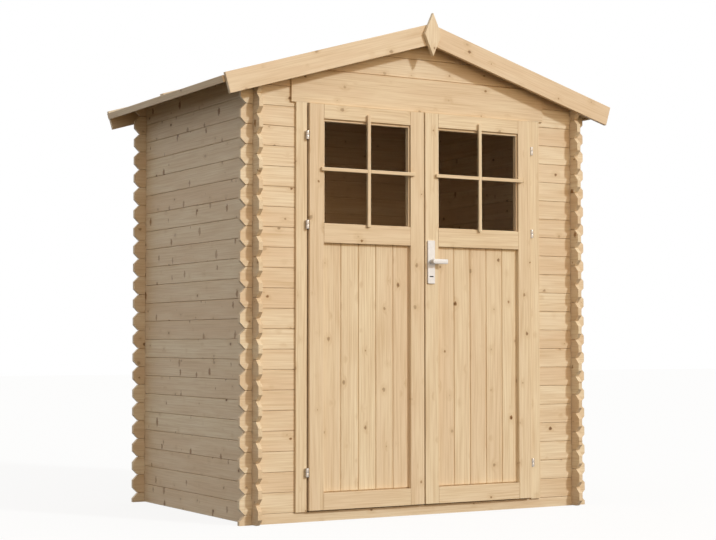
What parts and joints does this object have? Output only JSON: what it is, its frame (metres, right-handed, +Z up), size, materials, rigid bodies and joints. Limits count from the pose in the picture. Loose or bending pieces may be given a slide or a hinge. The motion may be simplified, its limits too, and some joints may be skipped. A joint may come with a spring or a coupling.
{
  "type": "wooden garden shed",
  "caption": "Small plank-walled timber shed with interlocking log corners, low ridged roof with barge boards, and a glazed double door on hinges with a lever handle.",
  "frame": {"origin": "on the ground, under the middle of the shed's walls and roof", "axes": "+X to the right seen from the front, +Y from the door to the rear wall, +Z up"},
  "size_m": [2.0836, 1.394, 2.2705],
  "materials": {
    "pine": "planed bare softwood",
    "joist_timber": "sawn treated softwood",
    "roofing_felt": "mineral-faced bitumen felt",
    "hinge_zinc": "zinc plated",
    "handle_satin": "satin anodised",
    "window_glass": "clear float glass"
  },
  "bodies": {
    "shed": {"left_wall": "pine", "right_wall": "pine", "rear_wall": "pine", "front_wall_left": "pine", "front_wall_right": "pine", "front_sill": "pine", "front_lintel": "pine", "front_gable": "pine", "left_jamb": "pine", "right_jamb": "pine", "door_header": "pine", "ridge_purlin": "pine", "left_roof_boards": "pine", "right_roof_boards": "pine", "left_roof_felt": "roofing_felt", "right_roof_felt": "roofing_felt", "left_eave_strip": "pine", "right_eave_strip": "pine", "left_roof_batten": "pine", "right_roof_batten": "pine", "front_left_barge": "pine", "front_right_barge": "pine", "rear_left_barge": "pine", "rear_right_barge": "pine", "front_finial": "pine", "rear_finial": "pine", "floor_boards": "pine", "floor_joists": "joist_timber", "left_jamb_hinges": "hinge_zinc", "right_jamb_hinges": "hinge_zinc"},
    "left_door": {"left_door_stiles": "pine", "left_door_rails": "pine", "left_door_panel": "pine", "left_door_pane": "window_glass", "left_door_hinges": "hinge_zinc"},
    "right_door": {"right_door_stiles": "pine", "right_door_rails": "pine", "right_door_panel": "pine", "right_door_pane": "window_glass", "right_door_hinges": "hinge_zinc", "handle_plates": "handle_satin"},
    "lever": {"door_lever": "handle_satin"}
  },
  "joints": [
    {"name": "left_door_swing", "type": "hinge", "parent": "shed", "child": "left_door", "pos_m": [-0.606, -0.622, 0.049], "axis": [0, 0, -1], "range_deg": [0, 150]},
    {"name": "right_door_swing", "type": "hinge", "parent": "shed", "child": "right_door", "pos_m": [0.598, -0.622, 0.049], "axis": [0, 0, 1], "range_deg": [0, 150]},
    {"name": "lever_turn", "type": "hinge", "parent": "right_door", "child": "lever", "pos_m": [0.0275, -0.607, 1.144], "axis": [0, 1, 0], "range_deg": [0, 40], "stiffness_Nm_per_rad": 1, "springref_deg": -17.19}
  ]
}
